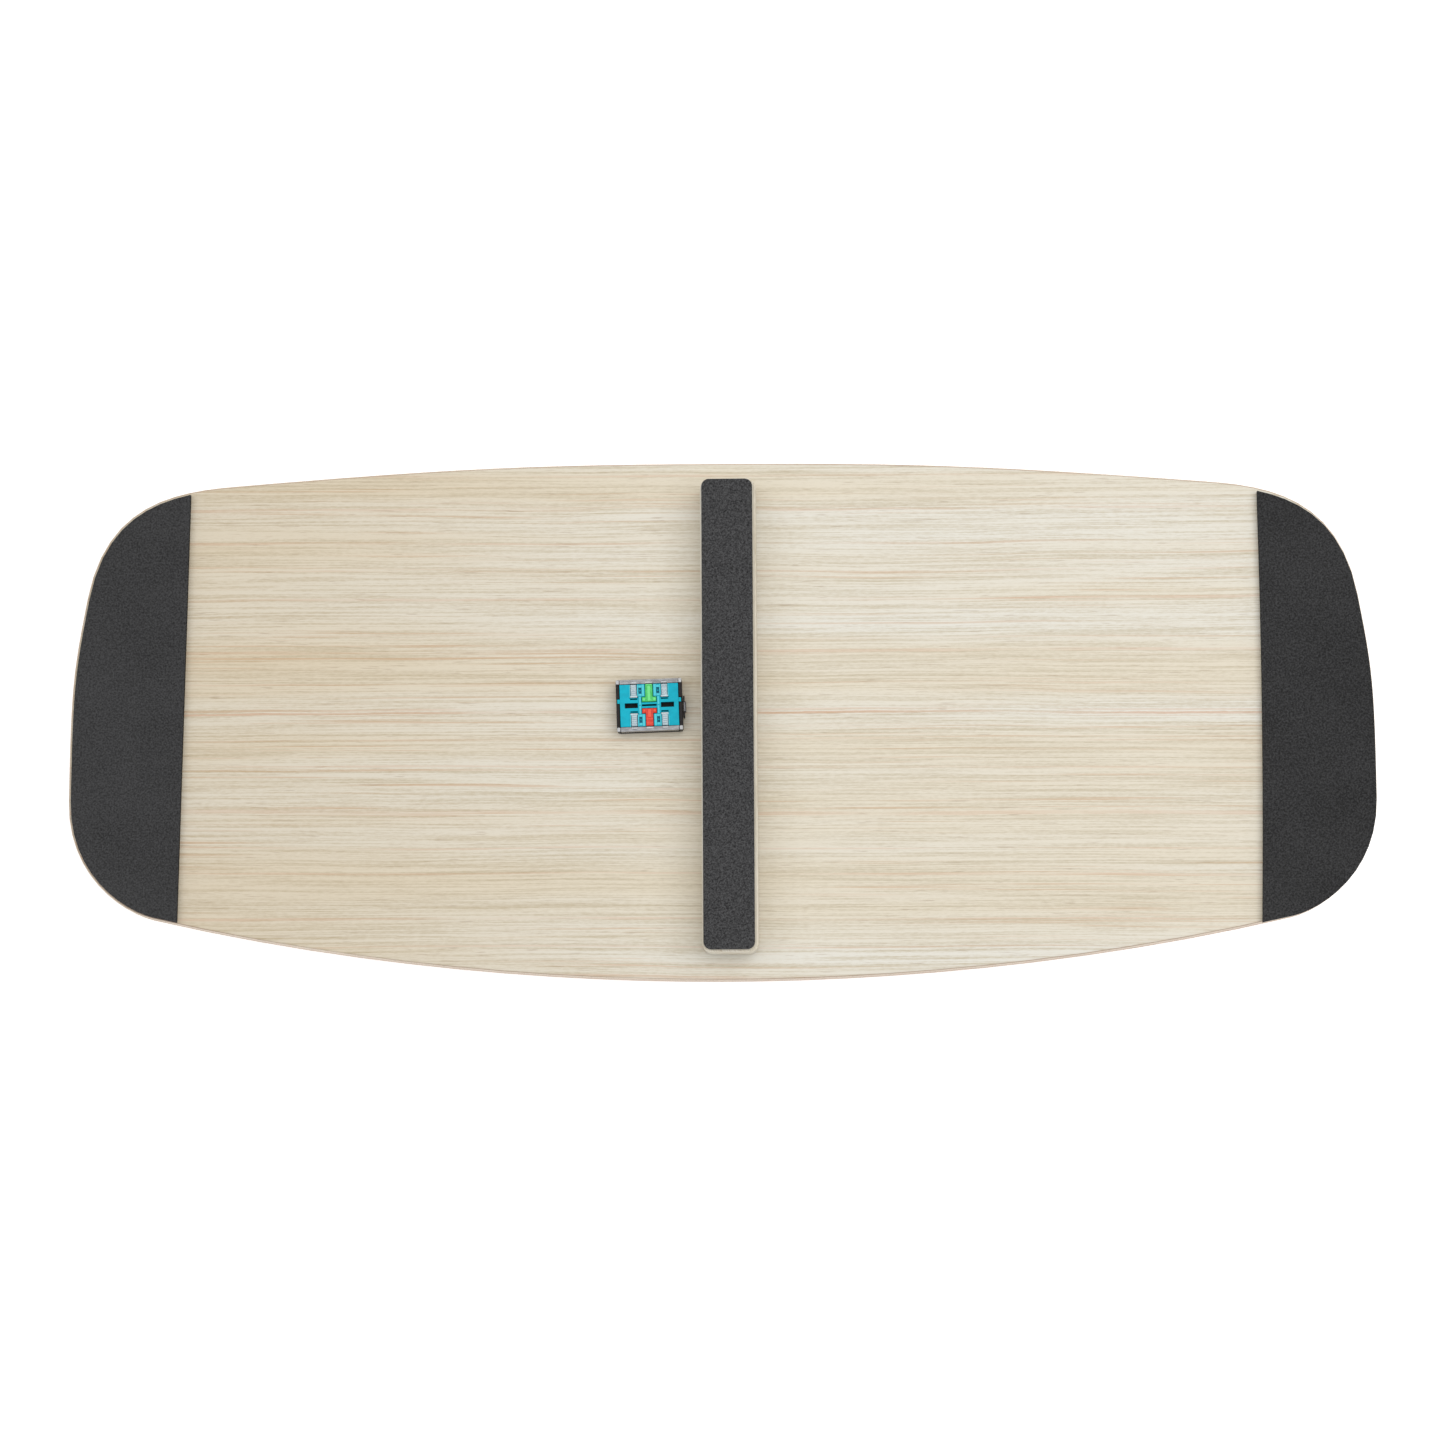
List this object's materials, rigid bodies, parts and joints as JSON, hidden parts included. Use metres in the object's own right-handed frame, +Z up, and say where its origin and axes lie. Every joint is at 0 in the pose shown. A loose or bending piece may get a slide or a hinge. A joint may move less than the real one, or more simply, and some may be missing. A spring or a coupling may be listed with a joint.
{
  "type": "balance board",
  "caption": "Low wooden balance board, shown underside up: a foam pad under each end, a rubber-faced batten across the middle to rock on, and a small insert with two push keys.",
  "frame": {"origin": "below the middle of the board's outline, on the surface that its standing face lies on", "axes": "+X along the board's length, +Y across it towards its flatter long edge, +Z up out of its underside, which carries the pads, the batten and the insert"},
  "size_m": [0.8, 0.32, 0.0403],
  "materials": {
    "deck_wood": "pale straight-grained face veneer under clear matt lacquer",
    "batten_wood": "pale solid wood, smooth, clear matt lacquer",
    "end_foam": "black closed-cell EVA foam, fine matt grain",
    "strip_rubber": "black rubber with a coarse matt grain",
    "adhesive_film": "thin double-sided adhesive film",
    "screw_steel": "zinc-plated wood screws",
    "dark_plastic": "dark moulded plastic, satin",
    "teal_plastic": "teal moulded plastic, satin gloss",
    "green_plastic": "green moulded plastic, gloss",
    "red_plastic": "red moulded plastic, gloss",
    "clear_plastic": "clear moulded plastic, gloss",
    "spring_steel": "fine spring wire",
    "board_laminate": "thin printed board laminate",
    "foam_tape": "white double-sided foam tape"
  },
  "bodies": {
    "board": {"deck": "deck_wood", "batten": "batten_wood", "end_pad_left": "end_foam", "end_pad_right": "end_foam", "batten_rubber_strip": "strip_rubber", "end_pad_left_adhesive": "adhesive_film", "end_pad_right_adhesive": "adhesive_film", "batten_strip_adhesive": "adhesive_film", "batten_screw_1": "screw_steel", "batten_screw_2": "screw_steel", "batten_screw_3": "screw_steel", "batten_screw_4": "screw_steel", "batten_screw_5": "screw_steel", "module_tray": "dark_plastic", "side_latch_clip": "dark_plastic", "module_carrier": "teal_plastic", "light_guide_1": "clear_plastic", "light_guide_2": "clear_plastic", "light_guide_3": "clear_plastic", "light_guide_4": "clear_plastic", "clear_end_bar_upper": "clear_plastic", "clear_end_bar_lower": "clear_plastic", "green_key_spring": "spring_steel", "red_key_spring": "spring_steel", "module_contact_board": "board_laminate", "module_foam_tape": "foam_tape"},
    "green_key_body": {"green_key": "green_plastic"},
    "red_key_body": {"red_key": "red_plastic"}
  },
  "joints": [
    {"name": "green_key_press", "type": "slide", "parent": "board", "child": "green_key_body", "axis": [0, 0, -1], "range_m": [0, 0.0008], "stiffness_N_per_m": 400, "springref_m": -0.001, "deforming": ["green_key_spring"]},
    {"name": "red_key_press", "type": "slide", "parent": "board", "child": "red_key_body", "axis": [0, 0, -1], "range_m": [0, 0.0008], "stiffness_N_per_m": 400, "springref_m": -0.001, "deforming": ["red_key_spring"]}
  ]
}
